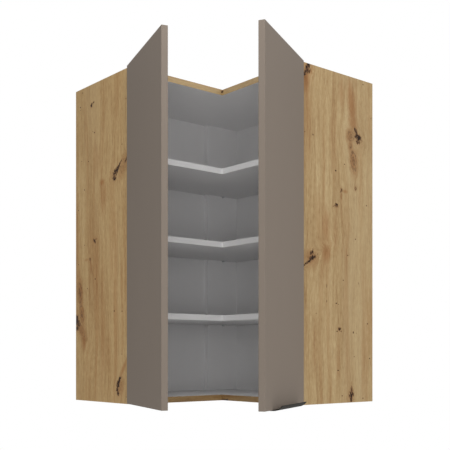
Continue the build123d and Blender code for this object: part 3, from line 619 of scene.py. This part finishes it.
hinge_levels, hinge_row = (102.5, 787.5), 37.0
plate_face, arm_face, hanger_face, hanger_inward = 19.15, 29.25, 44.15, 25.0
plate_screw = turned_screw(head=4.35, cap=1.6, seat=2.9, shank=2.85, length=14.6, pitch=2.6,
                           arm=2.6, deep=1.2)
arm_screw = turned_screw(head=3.55, cap=1.6, seat=2.0, shank=1.95, length=9.2, pitch=0.9,
                         arm=2.2, deep=1.1)
adjuster = turned_screw(head=2.95, cap=0.5, seat=2.95, shank=2.90, length=9.1, pitch=1.0,
                        arm=2.0, deep=1.0)
fasten("hinge_plate_screws", "carcass", plate_screw,
       [place for z in hinge_levels for up in (-16.0, 16.0)
        for place in on_sides(hinge_row, plate_face, z + up)])
fasten("hinge_arm_screws", "carcass", arm_screw,
       [place for z in hinge_levels for back in (28.0, 50.0) for place in on_sides(back, arm_face, z)])
fasten("hanger_screws", "carcass", adjuster,
       [place for z in (828.5, 859.5) for place in ((hanger_face, hanger_inward - leg_mm, z, 1, 0),
                                                    (leg_mm - hanger_inward, -hanger_face, z, 0, -1))])


def on_door(side, a, b, z):
    """A place on an open door, with the direction of its back there.

    On the shut door the place is a inward of the side's outer face and b in
    front of the carcass; the door has turned about the hinge's axis since.
    """
    axis_a, axis_b, open_by = -0.7, 3.7, {"left": 107.9, "right": 117.1}
    cos, sin = math.cos(math.radians(open_by[side])), math.sin(math.radians(open_by[side]))
    a, b = a - axis_a, b - axis_b
    a, b = axis_a + cos * a - sin * b, axis_b + sin * a + cos * b
    if side == "left":
        return depth_mm + b, a - leg_mm, z, -cos, sin
    return leg_mm - a, -depth_mm - b, z, -sin, cos


cup_a, cup_face, grip_face, grip_z = 30.5, 0.88, 0.68, 16.0
cup_screw = turned_screw(head=2.85, cap=0.2, seat=2.85, shank=1.55, length=11.85, pitch=1.3,
                         arm=1.6, deep=1.0)
grip_screw = turned_screw(head=2.65, cap=0.2, seat=2.65, shank=1.45, length=12.85, pitch=1.3,
                          arm=1.5, deep=1.0)
for side in ("left", "right"):
    fasten(side + "_cup_screws", side + "_door", cup_screw,
           [on_door(side, cup_a, cup_face, z + up) for z in hinge_levels for up in (-24.0, 24.0)])
fasten("handle_screws", "right_door", grip_screw,
       [on_door("right", a, grip_face, grip_z) for a in (74.0, 146.5, 219.0)])


# ---- Hangers and door buffers -------------------------------------------------------
# Moulded white plastic housings in the top rear corners; clear soft pads on the doors.
hanger_plastic = mottled("hanger_plastic", (0.60, 0.60, 0.59), (0.66, 0.66, 0.65), grain=(700.0, 3.0),
                         depth=0.00005, strength=0.5, Roughness=0.4)
wear(["left_hanger_housing", "right_hanger_housing"], hanger_plastic)
buffer_clear = mottled("buffer_clear", (0.72, 0.72, 0.71), (0.80, 0.80, 0.79), grain=(900.0, 2.0),
                       depth=0.00003, strength=0.4, Roughness=0.2, Transmission_Weight=0.6, IOR=1.45)
wear(["left_door_buffers", "right_door_buffers"], buffer_clear)


# ---- Room, light and camera ------------------------------------------------------------
# The cabinet hangs at its usual height over a plain pale floor, in an even
# white room that gives less light from below, with four soft lamps on its
# right and in front.
around, floor_radius, floor_level = 96, 2.4, -1.4
turn = np.linspace(0.0, 2.0 * np.pi, around + 1)[:-1]
ring = np.stack([leg / 2 + floor_radius * np.cos(turn), -leg / 2 + floor_radius * np.sin(turn),
                 np.full(around, floor_level)], axis=1)
floor_mesh = bpy.data.meshes.new("floor")
floor_mesh.from_pydata(ring.tolist(), [], [list(range(around))])
floor = bpy.data.objects.new("floor", floor_mesh)
bpy.context.scene.collection.objects.link(floor)
finish, tree, shader, place = new_finish("floor_finish", Roughness=0.8, Specular_IOR_Level=0.1)
tree.links.new(blend(tree, speckle(tree, place, 3.0), (0.86, 0.86, 0.85), (0.90, 0.90, 0.89)),
               shader.inputs["Base Color"])
floor_mesh.materials.append(finish)

world = bpy.data.worlds.new("white_room")
bpy.context.scene.world = world
world.use_nodes = True
tree = world.node_tree
tree.nodes.clear()
ray = add(tree, "ShaderNodeLightPath").outputs
seen = calc(tree, "MAXIMUM", ray["Is Camera Ray"], calc(tree, "MAXIMUM", ray["Is Glossy Ray"],
                                                       ray["Is Transmission Ray"]))
upward = add(tree, "ShaderNodeSeparateXYZ", add(tree, "ShaderNodeTexCoord").outputs["Generated"]).outputs[2]
white_light = (1.0, 1.0, 1.0, 1.0)
sky = add(tree, "ShaderNodeBackground", white_light, spread(tree, upward, -1.0, 1.0, 0.0, 0.88))
white = add(tree, "ShaderNodeBackground", white_light, 1.0)
mixed = add(tree, "ShaderNodeMixShader", seen, sky.outputs[0], white.outputs[0])
tree.links.new(mixed.outputs[0], add(tree, "ShaderNodeOutputWorld").inputs[0])


def soft_lamp(name, place, towards, size, power):
    """A round lamp at a place, aimed at another, with its width in metres and its power in watts."""
    lamp = bpy.data.lights.new(name, "AREA")
    lamp.shape, lamp.size, lamp.energy = "DISK", size, power
    holder = bpy.data.objects.new(name, lamp)
    bpy.context.scene.collection.objects.link(holder)
    holder.location = place
    aim = np.array(place) - np.array(towards)
    aim = aim / np.linalg.norm(aim)
    holder.rotation_euler = (math.acos(aim[2]), 0.0, math.atan2(aim[1], aim[0]) + math.pi / 2)


cabinet, bays, upper_bays = (0.35, -0.35, 0.5), (0.25, -0.25, 0.5), (0.25, -0.25, 0.6)
soft_lamp("side_lamp", (3.1, 0.9, 1.15), cabinet, size=2.0, power=21.6)
soft_lamp("front_lamp", (2.7, -2.0, 0.2), cabinet, size=1.6, power=5.6)
soft_lamp("upper_lamp", (1.05, -1.0, 1.4), upper_bays, size=0.6, power=4.6)
soft_lamp("inner_lamp", (1.7, -1.5, 0.2), bays, size=0.8, power=6.1)

# the photograph's camera looks level, with its horizon under the middle of the picture
picture, focal_length, horizon, heading = 450.0, 835.51, 353.97, 50.05
camera = bpy.data.cameras.new("camera")
camera.sensor_width = 36.0
camera.lens = focal_length / picture * camera.sensor_width
camera.shift_y = (horizon - picture / 2) / picture
camera.clip_start, camera.clip_end = 0.05, 50.0
stand = bpy.data.objects.new("camera", camera)
stand.location = (2.13148, -1.82255, 0.13275)
stand.rotation_euler = (math.pi / 2, 0.0, math.radians(heading))
bpy.context.scene.collection.objects.link(stand)
bpy.context.scene.camera = stand
bpy.context.scene.view_settings.view_transform = "Standard"
